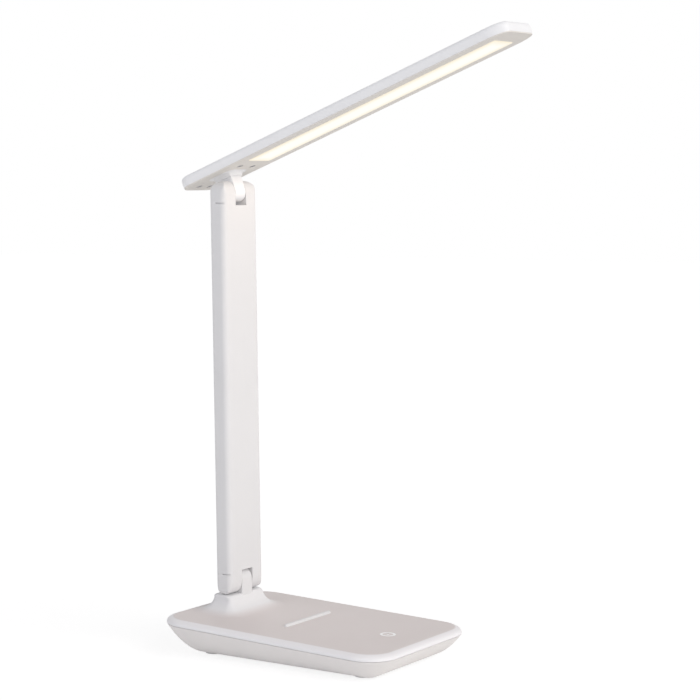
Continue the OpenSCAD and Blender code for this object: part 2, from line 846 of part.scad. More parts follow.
module upper_spring_washers() {
    color("silver") at_upper_hinge() spring_washers();
}

module upper_hinge_nuts() {
    color("silver") at_upper_hinge() hinge_nuts();
}

base_top_cover();
base_tray();
counterweight();
battery_pack();
charging_board();
power_inlet();
touch_board();
touch_electrode();
touch_key_lens();
tray_screws();
rubber_feet();
lower_hinge_pins();
lower_thrust_washers();
lower_spring_washers();
lower_hinge_nuts();
arm_shell();
arm_back_cover();
arm_wires();
head_knuckle();
head_top_shell();
head_bezel();
diffuser_panel();
light_guide();
reflector_sheet();
heat_spreader();
led_strips();
head_screws();
upper_hinge_pins();
upper_thrust_washers();
upper_spring_washers();
upper_hinge_nuts();
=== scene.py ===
import math

import bmesh
import bpy
from mathutils import Matrix, Vector


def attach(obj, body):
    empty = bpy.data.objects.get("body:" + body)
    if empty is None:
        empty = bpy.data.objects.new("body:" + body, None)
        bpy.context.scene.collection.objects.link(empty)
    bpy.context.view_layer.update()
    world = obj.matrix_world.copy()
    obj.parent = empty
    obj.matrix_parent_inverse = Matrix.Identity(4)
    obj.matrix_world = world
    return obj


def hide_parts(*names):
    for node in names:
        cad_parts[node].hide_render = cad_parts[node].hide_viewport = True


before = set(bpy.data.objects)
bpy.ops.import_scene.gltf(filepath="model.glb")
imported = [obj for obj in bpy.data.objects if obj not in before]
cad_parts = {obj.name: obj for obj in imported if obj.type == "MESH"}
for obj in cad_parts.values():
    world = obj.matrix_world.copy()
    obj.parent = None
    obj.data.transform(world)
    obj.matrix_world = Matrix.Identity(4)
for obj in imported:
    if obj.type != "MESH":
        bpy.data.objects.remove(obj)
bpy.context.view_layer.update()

# ---------- sizes ----------

# Millimetres and degrees: the solids' own, and those of the small details left to the looks.

MM = 0.001

BASE_REAR, BASE_FRONT, BASE_HALF = 30.0, 158.4, 59.7
BASE_CORNER = 22.0
BASE_HEIGHT, BASE_SLOPE = 26.6, 1.95
RIM_HEIGHT, RIM_REACH, RIM_POWER, RIM_STOP = 4.4, 5.4, 3.0, 55.0
SEAM_Z, SEAM_OPEN, TRAY_Z = 22.2, 0.2, 1.35
SEAM_SHIFT = -RIM_HEIGHT * math.sin(math.radians(BASE_SLOPE))
KEEL_SIDE, KEEL_REAR, KEEL_POWER = 26.0, 32.5, 2.2
WALL = 2.2

NECK_X, NECK_Y, NECK_R = 8.3, 19.5, 3.0
NECK_HEIGHT, NECK_COVE, NECK_SHOULDER, NECK_BACK = 12.0, 16.2, 1.2, 1.5
NECK_FRONT, NECK_CLEAR = (3.2, 2.6), 0.25

HINGE_Z, UPPER_Z = 47.5, 322.0
TONGUE_R, TONGUE_Y, TONGUE_STEM = 6.7, 5.8, -2.0
STEM_SUNK, STEM_RISE, STEM_BITE = 5, 0.6, 0.8

ARM_X, ARM_Y = 6.75, 19.1
ARM_EDGE, ARM_BACK, ARM_CORNER, ARM_FOOT, ARM_RISE = 4.2, 3.0, 9.0, 3.0, 9.5
ARM_LOW, ARM_MIDDLE, ARM_HIGH = 39.0, 150.0, 330.0
ARM_CREASE, ARM_SOFT, ARM_FADE = 0.35, 0.9, 4
SLOT_Y, WEB_LOW, WEB_HIGH = 6.1, 55.4, 313.0
BACK_LOW, BACK_HIGH, BACK_Y, BACK_R, BACK_DEPTH = 59.4, 309.0, 14.2, 3.0, 1.8
BACK_FIT, BACK_GAP = 0.15, 0.05
MARK_X, MARK_OFFSET, MARK_HEIGHT, MARK_DEPTH = (-0.6, 5.6), 1.7, 0.6, 1.0
SINK_Y, SINK_Z, SINK_WIDTH, SINK_DEPTH, SINK_FADE = 0.6, (126.0, 232.0), 1.3, 0.13, 12

HEAD_TILT = 20.1
HEAD_REAR, HEAD_FRONT, HEAD_HALF = 30.4, 252.8, 20.9
HEAD_FRONT_BOW, HEAD_FRONT_R, HEAD_REAR_R = 15.0, 8.0, 11.0
HEAD_LOW, HEAD_TOP, HEAD_EDGE = 12.7, 20.6, 2.7
HEAD_STEP, HEAD_INSET, HEAD_DRAFT = 0.7, 0.45, 0.3
BEZEL_TOP, PANEL_DEPTH, PANEL_PROUD = 14.9, 1.2, 0.35
COLLAR_FIT, COLLAR_WALL, COLLAR_R = 0.15, 1.2, 2.0
COLLAR_DROP, COLLAR_LIP, COLLAR_FLARE, COLLAR_SUNK = 2.5, 0.5, 3.8, 0.5
WINDOW_BACK, WINDOW_FRONT, WINDOW_HALF = 29.0, 238.6, 11.7
LIGHT_DROP = 0.6
# Radius and height above the head's lower face.
SCREW_SEAT, SCREW_HOLE = [(2.6, -1), (2.6, 0), (2.3, 0.2), (2.3, 1.3)], [(1.3, 1), (1.3, 4)]
HEAD_SCREWS = [(17.4, 7.3), (17.4, -7.3), (-22.3, 5.7), (-22.3, -5.7)]

FEET = [(x, y) for x in (-0.5, 126.4) for y in (-29.5, 29.5)]
FOOT_R, FOOT_HEIGHT, FOOT_FIT = 6.5, 2.6, 0.15
BOSSES = [(x, y) for x in (14.0, 111.9) for y in (-27.5, 27.5)]
BOSS_R, BOSS_HEIGHT, BORE_WIDE, BORE_SLIM, BORE_STEP = 4.2, 13, 3.2, 1.6, 4.55
KEY_X, KEY_R, KEY_DEPTH, KEY_FIT = 126.4, 6.0, 0.6, 0.05
# Each ring of the key's lens: radius, height and material of the faces outside it.
KEY_BANDS = [(KEY_R, -0.1, 0), (KEY_R - 0.12, 0, 0), (5.5, 0, 0), (3.7, 0, 1), (1.0, 0, 0)]
REST_X, REST_LENGTH, REST_DEPTH, REST_HEIGHT = 59.4, 53.0, 2.4, 1.6
INLET_X, INLET_Z, INLET_WALL = -21.4, 16.492, 1
INLET_POCKET, INLET_HOLE = (12.4, 7.0), (9.24, 3.46)


def placed(z, degrees):
    """Millimetres in a frame at height z, turned about Y, to metres in the row frame."""
    turn = Matrix.Rotation(math.radians(degrees), 4, "Y")
    return Matrix.Translation((0, 0, z * MM)) @ turn @ Matrix.Scale(MM, 4)


ROW = placed(0, 0)
TOP = placed(BASE_HEIGHT, BASE_SLOPE)
HEAD = placed(UPPER_Z, -HEAD_TILT)


# ---------- mesh tools ----------

MERGE, SLIVER, SHARP_ANGLE = 2e-7, 1e-7, 32


class Form:
    """A mesh under construction, in the millimetres of one frame."""

    def __init__(self, place=ROW):
        self.bm = bmesh.new()
        self.place = place
        self.weight = self.bm.edges.layers.float.new("bevel_weight_edge")

    def ring(self, points):
        """New vertices at points of the form's own frame."""
        return [self.bm.verts.new(self.place @ Vector(p)) for p in points]

    def skin(self, a, b):
        """Faces between two closed rings of equal length."""
        n = len(a)
        turn = [(i, (i + 1) % n) for i in range(n)]
        return [self.bm.faces.new((a[i], a[j], b[j], b[i])) for i, j in turn]

    def loft(self, rings, closed=False):
        """Skin through rings of points; capped at both ends, or joined end to end."""
        made = [self.ring(r) for r in rings]
        for a, b in zip(made, made[1:]):
            self.skin(a, b)
        if closed:
            self.skin(made[-1], made[0])
        else:
            self.bm.faces.new(made[0])
            self.bm.faces.new(made[-1])
        return made

    def mesh(self, name):
        """Ends the form: an object with merged points and outward normals."""
        bmesh.ops.remove_doubles(self.bm, verts=self.bm.verts, dist=MERGE)
        bmesh.ops.dissolve_degenerate(self.bm, edges=self.bm.edges, dist=SLIVER)
        bmesh.ops.recalc_face_normals(self.bm, faces=self.bm.faces)
        data = bpy.data.meshes.new(name)
        self.bm.to_mesh(data)
        self.bm.free()
        obj = bpy.data.objects.new(name, data)
        bpy.context.scene.collection.objects.link(obj)
        return obj


def round_rect(x0, x1, half, r, z, n=10, r_back=None):
    """Ring of 4 (n + 1) points round a rectangle with round corners, at height z."""
    back = r if r_back is None else r_back
    points = []
    for q, (cx, cy, rr) in enumerate(
        [(x1, half, r), (x0, half, back), (x0, -half, back), (x1, -half, r)]
    ):
        rr = max(rr, 0.02)
        cx -= math.copysign(rr, cx - (x0 + x1) / 2)
        cy -= math.copysign(rr, cy)
        for i in range(n + 1):
            a = math.radians(90 * (q + i / n))
            points.append((cx + rr * math.cos(a), cy + rr * math.sin(a), z))
    return points


def circle(x, y, r, z, n=64):
    """Ring of n points round (x, y) at height z."""
    turn = [math.tau * i / n for i in range(n)]
    return [(x + r * math.cos(a), y + r * math.sin(a), z) for a in turn]


def steps(a, b, n):
    """From a to b in n equal steps, both ends included."""
    return [a + (b - a) * i / n for i in range(n + 1)]


def evaluated(obj):
    """Bakes an object's modifiers into its mesh."""
    depsgraph = bpy.context.evaluated_depsgraph_get()
    data = bpy.data.meshes.new_from_object(obj.evaluated_get(depsgraph))
    old = obj.data
    obj.modifiers.clear()
    obj.data = data
    data.name = old.name
    bpy.data.meshes.remove(old)


def carve(obj, cutters):
    """Cuts the cutters out of obj, and removes them."""
    for c in cutters:
        m = obj.modifiers.new("carve", "BOOLEAN")
        m.operation = "DIFFERENCE"
        m.solver = "EXACT"
        m.object = c
    evaluated(obj)
    for c in cutters:
        data = c.data
        bpy.data.objects.remove(c)
        bpy.data.meshes.remove(data)


def bevel(obj, width):
    """Rounds the edges that carry a bevel weight."""
    m = obj.modifiers.new("bevel", "BEVEL")
    m.width = width * MM
    m.segments = 3
    m.limit_method = "WEIGHT"
    m.use_clamp_overlap = True
    evaluated(obj)


def piece(obj, body, materials, stands_for):
    """Smooth shading with crisp edges, materials, a body to ride on and the nodes it stands for."""
    bm = bmesh.new()
    bm.from_mesh(obj.data)
    limit = math.radians(SHARP_ANGLE)
    for e in bm.edges:
        e.smooth = len(e.link_faces) == 2 and e.calc_face_angle(0) < limit
    for f in bm.faces:
        f.smooth = True
    bm.to_mesh(obj.data)
    bm.free()
    m = obj.modifiers.new("normals", "WEIGHTED_NORMAL")
    m.keep_sharp = True
    m.mode = "FACE_AREA"
    m.weight = 80
    evaluated(obj)
    for name in materials:
        obj.data.materials.append(M[name])
    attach(obj, body)
    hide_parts(*stands_for)


# ---------- materials ----------


def nodes_of(name):
    """A new material with its node tree and its shader."""
    m = bpy.data.materials.new(name)
    m.use_nodes = True
    tree = m.node_tree
    return m, tree, tree.nodes["Principled BSDF"]


def link(tree, a, b):
    tree.links.new(a, b)


def noise(tree, scale, detail=3.0, rough=0.55, stretch=None):
    """Noise in the row frame, scale in cycles a metre."""
    coord = tree.nodes.new("ShaderNodeTexCoord")
    out = coord.outputs["Object"]
    if stretch:
        mapping = tree.nodes.new("ShaderNodeMapping")
        mapping.inputs["Scale"].default_value = stretch
        link(tree, out, mapping.inputs["Vector"])
        out = mapping.outputs["Vector"]
    n = tree.nodes.new("ShaderNodeTexNoise")
    n.inputs["Scale"].default_value = scale
    n.inputs["Detail"].default_value = detail
    n.inputs["Roughness"].default_value = rough
    link(tree, out, n.inputs["Vector"])
    return n.outputs["Fac"]


def remap(tree, value, low, high, a=0.3, b=0.7):
    """The value taken from the range a to b to the range low to high, and kept within it."""
    r = tree.nodes.new("ShaderNodeMapRange")
    r.inputs["From Min"].default_value = a
    r.inputs["From Max"].default_value = b
    r.inputs["To Min"].default_value = low
    r.inputs["To Max"].default_value = high
    link(tree, value, r.inputs["Value"])
    return r.outputs["Result"]


def mix(tree, factor, a, b):
    """Colour between a and b, which are colours or sockets."""
    m = tree.nodes.new("ShaderNodeMix")
    m.data_type = "RGBA"
    for socket, value in ((m.inputs[6], a), (m.inputs[7], b)):
        if isinstance(value, tuple):
            socket.default_value = (*value, 1)
        else:
            link(tree, value, socket)
    link(tree, factor, m.inputs[0])
    return m.outputs[2]


def bump(tree, shader, value, distance, strength=1.0, under=None):
    """Relief of distance millimetres on the shader's normal, laid over the one under it."""
    b = tree.nodes.new("ShaderNodeBump")
    b.inputs["Distance"].default_value = distance * MM
    b.inputs["Strength"].default_value = strength
    link(tree, value, b.inputs["Height"])
    if under:
        link(tree, under, b.inputs["Normal"])
    link(tree, b.outputs["Normal"], shader.inputs["Normal"])
    return b.outputs["Normal"]


def shade(tree, shader, value, dark, pale):
    """Base colour that drifts between two shades."""
    link(tree, mix(tree, remap(tree, value, 0, 1), dark, pale), shader.inputs["Base Color"])


def gloss(tree, shader, value, low, high):
    """Roughness that drifts between two values."""
    link(tree, remap(tree, value, low, high), shader.inputs["Roughness"])


def moulded(name, colour, rough=0.42, tone=0.02, grain=0.012, grain_size=0.45):
    """Moulded plastic: fine spark-eroded grain, slow drifts of tone, patches a little glossier."""
    m, tree, shader = nodes_of(name)
    darker = tuple(c * (1 - tone) for c in colour)
    shade(tree, shader, noise(tree, 22, 2), darker, colour)
    gloss(tree, shader, noise(tree, 60, 4, 0.6), rough - 0.05, rough + 0.05)
    shader.inputs["Specular IOR Level"].default_value = 0.3
    fine = noise(tree, 1000 / grain_size, 2, 0.5)
    slow = noise(tree, 9, 1)
    wave = bump(tree, shader, slow, 0.5, 0.25)
    bump(tree, shader, fine, grain, 0.6, wave)
    return m


def metal(name, colour, rough=0.3, stretch=(1, 1, 1), scale=600, depth=0.01):
    """Metal brushed across the stretch, with darker worn patches."""
    m, tree, shader = nodes_of(name)
    shader.inputs["Metallic"].default_value = 1.0
    brushed = noise(tree, scale, 3, 0.6, stretch)
    darker = tuple(c * 0.82 for c in colour)
    shade(tree, shader, noise(tree, 90, 4), darker, colour)
    gloss(tree, shader, brushed, rough - 0.08, rough + 0.1)
    bump(tree, shader, brushed, depth, 0.5)
    return m


# Painted shade and light on the base cover: the broad top face is painted a darker warm grey as in
# the weak light from above, the rim keeps the whiter plastic colour, and the neck is painted a tone
# between them, dimmed against the key light on its front.
FACE_PAINTED_SHADE_TONES = (0.708, 0.654, 0.644), (0.72, 0.665, 0.655)
NECK_PAINTED_TONE = (0.77, 0.765, 0.775)

M = {}
for name, *look in (
    ("white_plastic", (0.75, 0.745, 0.75)),
    # The head's copy of the white plastic is made whiter than the arm's: painted light, standing in
    # for the stronger light that falls on the head.
    ("white_plastic_head", (0.9, 0.9, 0.91), 0.36, 0.015, 0.006),
    ("white_plastic_tray", (0.79, 0.77, 0.762), 0.5, 0.03, 0.02, 0.6),
    # The bezel's plastic is painted darker and browner than the head's white: painted shade of the
    # head's underside.
    ("bezel_plastic", (0.80, 0.77, 0.725), 0.45, 0.02),
    ("foot_rubber", (0.72, 0.71, 0.70), 0.75, 0.12, 0.03, 0.8),
    ("washer_plastic", (0.78, 0.76, 0.68), 0.35, 0.05),
    ("wire_sleeve", (0.45, 0.05, 0.04), 0.45, 0.15),
    ("battery_wrap", (0.06, 0.16, 0.42), 0.25, 0.15, 0.02, 3),
    ("reflector_white", (0.9, 0.9, 0.9), 0.6),
):
    M[name] = moulded(name, *look)
for name, *look in (
    ("weight_steel", (0.42, 0.42, 0.44), 0.5, (1, 8, 8), 220, 0.03),
    ("spreader_aluminium", (0.82, 0.83, 0.85), 0.35, (1, 25, 25), 180),
    ("inlet_metal", (0.75, 0.75, 0.77), 0.28, (1, 12, 12), 500, 0.005),
    ("contact_foil", (0.9, 0.62, 0.28), 0.3),
    ("screw_steel", (0.5, 0.5, 0.52), 0.32, (1, 1, 1), 900),
    ("hinge_steel", (0.62, 0.62, 0.64), 0.25, (12, 1, 12), 500, 0.005),
):
    M[name] = metal(name, *look)


def cover_plastic():
    """The cover's plastic, with painted light and shade: whiter on rim and neck than on the broad
    top face between them, the top face painted darker as in the weak light from above.
    """
    m = moulded("white_plastic_cover", (0.86, 0.85, 0.865), 0.4)
    tree = m.node_tree
    shader = tree.nodes["Principled BSDF"]
    shader.inputs["Specular IOR Level"].default_value = 0.12
    rim = shader.inputs["Base Color"].links[0].from_socket
    coord = tree.nodes.new("ShaderNodeTexCoord")
    plane = tree.nodes.new("ShaderNodeMapping")
    plane.vector_type = "TEXTURE"
    plane.inputs["Location"].default_value = (0, 0, BASE_HEIGHT * MM)
    plane.inputs["Rotation"].default_value = (0, math.radians(BASE_SLOPE), 0)
    link(tree, coord.outputs["Object"], plane.inputs["Vector"])
    split = tree.nodes.new("ShaderNodeSeparateXYZ")
    link(tree, plane.outputs["Vector"], split.inputs[0])
    # Painted shade on the broad top face, painted light on the rim below it and on the neck's cove
    # above it, switched by height above the top face.
    face = mix(tree, remap(tree, noise(tree, 30, 3), 0, 1), *FACE_PAINTED_SHADE_TONES)
    below = remap(tree, split.outputs["Z"], 0, 1, -0.03 * MM, -0.3 * MM)
    above = remap(tree, split.outputs["Z"], 0, 1, 0, 3 * MM)
    low = mix(tree, below, face, rim)
    link(tree, mix(tree, above, low, NECK_PAINTED_TONE), shader.inputs["Base Color"])
    return m


def key_lens():
    """The touch key's lens, in the top face's painted-shade tones."""
    m, tree, shader = nodes_of("key_lens")
    dust = noise(tree, 300, 4)
    shade(tree, shader, dust, *FACE_PAINTED_SHADE_TONES)
    gloss(tree, shader, dust, 0.26, 0.36)
    shader.inputs["Specular IOR Level"].default_value = 0.15
    bump(tree, shader, noise(tree, 40, 2), 0.05, 0.2)
    return m


def key_mark():
    """White ink of the touch key's mark."""
    m, tree, shader = nodes_of("key_mark")
    ink = noise(tree, 2500, 3)
    shade(tree, shader, ink, (0.95, 0.95, 0.96), (0.99, 0.99, 1.0))
    gloss(tree, shader, ink, 0.4, 0.5)
    shader.inputs["Specular IOR Level"].default_value = 0.15
    return m


def opal():
    """Lit diffuser: warm white with the light guide's faint fall-off towards its edges."""
    m, tree, shader = nodes_of("opal_diffuser")
    uv = tree.nodes.new("ShaderNodeUVMap")
    uv.uv_map = "panel"
    split = tree.nodes.new("ShaderNodeSeparateXYZ")
    link(tree, uv.outputs["UV"], split.inputs[0])
    edge = remap(tree, split.outputs["Y"], 0, 1, 0.3, 1.0)
    glow = mix(tree, edge, (1.0, 0.985, 0.93), (0.95, 0.87, 0.70))
    link(tree, glow, shader.inputs["Emission Color"])
    shader.inputs["Emission Strength"].default_value = 0.95
    # Not sampled as a lamp, against grain: panel_light lights what is near.
    m.cycles.emission_sampling = "NONE"
    shader.inputs["Specular IOR Level"].default_value = 0.1
    grain = noise(tree, 1800, 2)
    shade(tree, shader, grain, (0.05, 0.05, 0.045), (0.06, 0.06, 0.055))
    gloss(tree, shader, grain, 0.5, 0.6)
    bump(tree, shader, grain, 0.01, 0.4)
    return m


def guide():
    """Clear acrylic of the light guide."""
    m, tree, shader = nodes_of("clear_guide")
    shader.inputs["Transmission Weight"].default_value = 0.9
    shader.inputs["IOR"].default_value = 1.49
    haze = noise(tree, 700, 2)
    shade(tree, shader, haze, (0.93, 0.96, 0.97), (0.97, 0.99, 1.0))
    gloss(tree, shader, haze, 0.08, 0.16)
    return m


def board():
    """Circuit board: green lacquer over a woven glass sheet."""
    m, tree, shader = nodes_of("circuit_board")
    weave = tree.nodes.new("ShaderNodeTexChecker")
    weave.inputs["Scale"].default_value = 900
    coord = tree.nodes.new("ShaderNodeTexCoord")
    link(tree, coord.outputs["Object"], weave.inputs["Vector"])
    cloud = noise(tree, 120, 4)
    shade(tree, shader, cloud, (0.008, 0.07, 0.03), (0.012, 0.11, 0.045))
    gloss(tree, shader, cloud, 0.25, 0.38)
    bump(tree, shader, weave.outputs["Fac"], 0.01, 0.3)
    return m


def strip():
    """LED strip with its yellow phosphor."""
    m, tree, shader = nodes_of("led_strip")
    phosphor = noise(tree, 500, 3)
    shade(tree, shader, phosphor, (0.92, 0.86, 0.6), (0.95, 0.93, 0.8))
    gloss(tree, shader, phosphor, 0.4, 0.55)
    return m


M["white_plastic_cover"] = cover_plastic()
M["key_lens"] = key_lens()
M["key_mark"] = key_mark()
M["opal_diffuser"] = opal()
M["clear_guide"] = guide()
M["circuit_board"] = board()
M["led_strip"] = strip()

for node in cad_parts.values():
    for place in node.material_slots:
        place.material = M[place.material.name.split(".")[0]]


# ---------- base ----------


def base_plan(side, rear, z):
    """Plan of the base drawn in by side at the sides and front, and by rear behind."""
    corner = max(BASE_CORNER - side, 0.8)
    return round_rect(rear - BASE_REAR, BASE_FRONT - side, BASE_HALF - side, corner, z, 12)


def rim_curve(t):
    """Inward and upward share of the rim's curve at t, from its foot at 0 to the top face at 1."""
    a, stop, k = math.radians(RIM_STOP * t), math.radians(RIM_STOP), 2 / RIM_POWER
    return (1 - math.cos(a) ** k) / (1 - math.cos(stop) ** k), (math.sin(a) / math.sin(stop)) ** k


def rounded(z, top, r, reach):
    """Inset of a shoulder of height r and depth reach that ends at height top."""
    up = min(max((z - top + r) / r, 0), 1)
    return reach * (1 - math.sqrt(1 - up * up))


def neck_plan(z):
    """Plan of the neck at height z: coved foot, small shoulder, fuller one in front."""
    fall = NECK_HEIGHT - NECK_SHOULDER
    d = NECK_COVE * (1 - math.sqrt(1 - max(1 - z / fall, 0) ** 2))
    side = rounded(z, NECK_HEIGHT, NECK_SHOULDER, NECK_SHOULDER)
    front = rounded(z, NECK_HEIGHT, *NECK_FRONT)
    x0, x1 = -NECK_BACK - NECK_X - d + side, NECK_X - NECK_BACK + d - front
    ring = round_rect(x0, x1, NECK_Y + d - side, NECK_R + d + front, z, 12, NECK_R + d)
    edge = RIM_REACH - BASE_REAR + NECK_CLEAR
    return [(max(x, edge), y, zz) for x, y, zz in ring]


def base_cover():
    """Rim, top face, coved neck and shoulder in one skin, closed by the wall inside."""
    form = Form(TOP)
    foot = SEAM_OPEN - RIM_HEIGHT
    profile = [(WALL + 1.0, -WALL), (WALL, -WALL - 0.6), (WALL, foot)]
    profile += [(0.3, foot), (0.09, foot + 0.09)]
    for t in steps(0.12, 1, 20):
        inward, upward = rim_curve(t**1.4)
        profile.append((RIM_REACH * inward, RIM_HEIGHT * (upward - 1)))
    profile.append((RIM_REACH + 0.2, 0))
    rings = [base_plan(d, d, z) for d, z in profile]
    low, high = NECK_HEIGHT - NECK_FRONT[0], NECK_FRONT[0]
    rings += [neck_plan(low * (1 - math.cos(a))) for a in steps(0.03, math.pi / 2, 24)]
    rings += [neck_plan(low + high * math.sin(a)) for a in steps(0.15, math.pi / 2, 12)]
    form.loft(rings)
    cover = form.mesh("base_cover")

    key = Form(TOP)
    key.loft([circle(KEY_X, 0, KEY_R + KEY_FIT, z) for z in (-KEY_DEPTH, 1)])
    carve(cover, [key.mesh("key_cut")])
    return cover


def tongue(form, foot, rise=0.0, bite=0.35):
    """Round-ended tongue on the axis at the frame's origin, its stem towards -Z down to foot."""

    def outline(y, d):
        r = TONGUE_R - d
        side = [(r, foot), (r, TONGUE_STEM)]
        right = [(x, y, z) for x, z in side]
        arc = [(r * math.cos(a), y, (r + rise) * math.sin(a)) for a in steps(0, math.pi, 40)]
        left = [(-x, y, z) for x, z in reversed(side)]
        return right + arc + left

    rings = []
    for sign in (-1, 1):
        edge = [
            (TONGUE_Y - bite * (1 - math.sin(a)), bite * (1 - math.cos(a)))
            for a in steps(0, math.pi / 2, 4)
        ]
        if sign < 0:
            edge.reverse()
        rings += [outline(sign * y, d) for y, d in edge]
    form.loft(rings)


def device_rest(form):
    """Low ridge with round ends, its foot flared into the top face."""
    rings = [(0.0, -0.6), (0.5, -0.02), (0.27, 0.05), (0.11, 0.16), (0.02, 0.34)]
    crown = REST_DEPTH / 4
    rings += [
        (-crown * (1 - math.cos(a)), REST_HEIGHT - crown * (1 - math.sin(a)))
        for a in steps(0.0, math.pi / 2, 7)
    ]
    x, y = REST_DEPTH / 2, REST_LENGTH / 2
    form.loft(
        [
            round_rect(REST_X - x - d, REST_X + x + d, y + d, x + d - 0.02, z, 10)
            for d, z in rings
        ]
    )


cover = base_cover()
stem = Form(placed(HINGE_Z, 0))
tongue(stem, BASE_HEIGHT + NECK_HEIGHT - STEM_SUNK - HINGE_Z, STEM_RISE, STEM_BITE)
stem = stem.mesh("base_tongue")
ridge = Form(TOP)
device_rest(ridge)
ridge = ridge.mesh("device_rest")
piece(cover, "base", ["white_plastic_cover"], ["base_top_cover"])
piece(stem, "base", ["white_plastic"], ["base_top_cover"])
piece(ridge, "base", ["white_plastic"], ["base_top_cover"])


def keel(inset, bottom, count=30, first=0.0):
    """Rings of the curved underside from the seam down to the flat bottom."""
    rings = []
    for s in steps(first, 1, count):
        left = (1 - s) ** KEEL_POWER
        z = bottom + (SEAM_Z - bottom) * left
        tilt = math.radians(BASE_SLOPE * left)
        along, down = math.cos(tilt), math.sin(tilt)
        plan = base_plan(inset + KEEL_SIDE * s, inset + KEEL_REAR * s, 0)
        rings.append([(SEAM_SHIFT + x * along, y, z - x * down) for x, y, _ in plan])
    return rings


def slot_outline(w, h, x, z):
    """Upright slot with round ends, drawn across the base at distance x."""
    flat, r = (w - h) / 2, h / 2
    turn = steps(-math.pi / 2, math.pi / 2, 12)
    right = [(x, flat + r * math.cos(a), z + r * math.sin(a)) for a in turn]
    return right + [(px, -py, 2 * z - pz) for px, py, pz in right]


def base_tray():
    """Boat-shaped shell with its screw bosses, foot seats and the pocket of the power inlet."""
    form = Form(ROW)
    edge = keel(0.25, TRAY_Z, count=1)[0]
    form.loft([edge, *keel(0, TRAY_Z, first=0.004)])
    tray = form.mesh("base_tray_shell")

    form = Form(ROW)
    inner = keel(WALL, TRAY_Z + WALL, count=24)
    form.loft([[(x, y, z + 1) for x, y, z in inner[0]], *inner])
    cavity = form.mesh("cavity")
    solid = Form(ROW)
    for x, y in BOSSES:
        solid.loft([circle(x, y, BOSS_R, z, 40) for z in (0, BOSS_HEIGHT)])
    for x, y in FEET:
        solid.loft([circle(x, y, FOOT_R + WALL, z, 40) for z in (0, FOOT_HEIGHT + WALL)])
    w, h = (size / 2 + INLET_WALL for size in INLET_POCKET)
    x0, x1 = -BASE_REAR - 1, INLET_X + WALL
    block = [(x0, -w), (x1, -w), (x1, w), (x0, w)]
    solid.loft([[(x, y, z) for x, y in block] for z in (INLET_Z - h, INLET_Z + h)])
    carve(cavity, [solid.mesh("solid")])
    carve(tray, [cavity])

    cuts = Form(ROW)
    bore = [(BORE_WIDE, -1), (BORE_WIDE, BORE_STEP)]
    bore += [(BORE_SLIM, BORE_STEP), (BORE_SLIM, BOSS_HEIGHT + 1)]
    for x, y in BOSSES:
        cuts.loft([circle(x, y, r, z, 40) for r, z in bore])
    for x, y in FEET:
        cuts.loft([circle(x, y, FOOT_R + FOOT_FIT, z) for z in (-1, FOOT_HEIGHT)])
    pocket = [slot_outline(*INLET_POCKET, x, INLET_Z) for x in (-BASE_REAR - 2, INLET_X)]
    hole = [slot_outline(*INLET_HOLE, x, INLET_Z) for x in (INLET_X, INLET_X + WALL + 1)]
    cuts.loft(pocket + hole)
    carve(tray, [cuts.mesh("cuts")])
    return tray


piece(base_tray(), "base", ["white_plastic_tray"], ["base_tray"])


def foot_pads():
    """Rubber feet with a rounded tread edge and a shallow dish under each."""
    form = Form(ROW)
    tread = [(3.6, 0.25), (4.2, 0.08), (4.6, 0.0), (5.8, 0.0)]
    wall = [(6.1, 0.06), (6.35, 0.22), (6.48, 0.5)]
    wall += [(FOOT_R, 0.9), (FOOT_R, FOOT_HEIGHT - 0.02)]
    for x, y in FEET:
        form.loft([circle(x, y, r, z) for r, z in tread + wall])
    return form.mesh("foot_pads")


piece(foot_pads(), "base", ["foot_rubber"], ["rubber_feet"])


def touch_key():
    """Lens in its recess, with a printed ring and dot as bands of faces in the second material."""
    form = Form(TOP)
    last = form.ring(circle(KEY_X, 0, KEY_R, -KEY_DEPTH, 72))
    form.bm.faces.new(last)
    for r, z, band in KEY_BANDS:
        ring = form.ring(circle(KEY_X, 0, r, z, 72))
        for f in form.skin(last, ring):
            f.material_index = band
        last = ring
    form.bm.faces.new(last).material_index = 1
    return form.mesh("touch_key")


piece(touch_key(), "base", ["key_lens", "key_mark"], ["touch_key_lens"])


# ---------- arm ----------


def soft_min(a, b, k):
    """The smaller of a and b, with the change from one to the other rounded over k."""
    if k <= 1e-6:
        return min(a, b)
    return max(min(a, b) - max(k - abs(a - b), 0) ** 2 / (4 * k), 0)


def arm_reach(z):
    """Half thickness and half width left by the rounded ends at height z, and how soft each is."""
    up = max(ARM_LOW + ARM_RISE - z, z - ARM_HIGH + ARM_RISE, 0) / ARM_RISE
    h = ARM_X * math.sqrt(max(1 - up * up, 0))
    r, depth = (ARM_FOOT, z - ARM_LOW) if z < ARM_MIDDLE else (ARM_CORNER, ARM_HIGH - z)
    across = max(r - depth, 0)
    w = ARM_Y - r + math.sqrt(max(r * r - across * across, 0))
    soft_h = min(ARM_SOFT * min(ARM_FADE * up, 1), h)
    return h, w, soft_h, ARM_SOFT * min(ARM_FADE * across / r, 1)


def arm_side(x):
    """Half width of the arm's section at x, on its rounded front edge."""
    past = max(x - ARM_X + ARM_EDGE, 0)
    return ARM_Y - ARM_EDGE + math.sqrt(ARM_EDGE**2 - past**2)


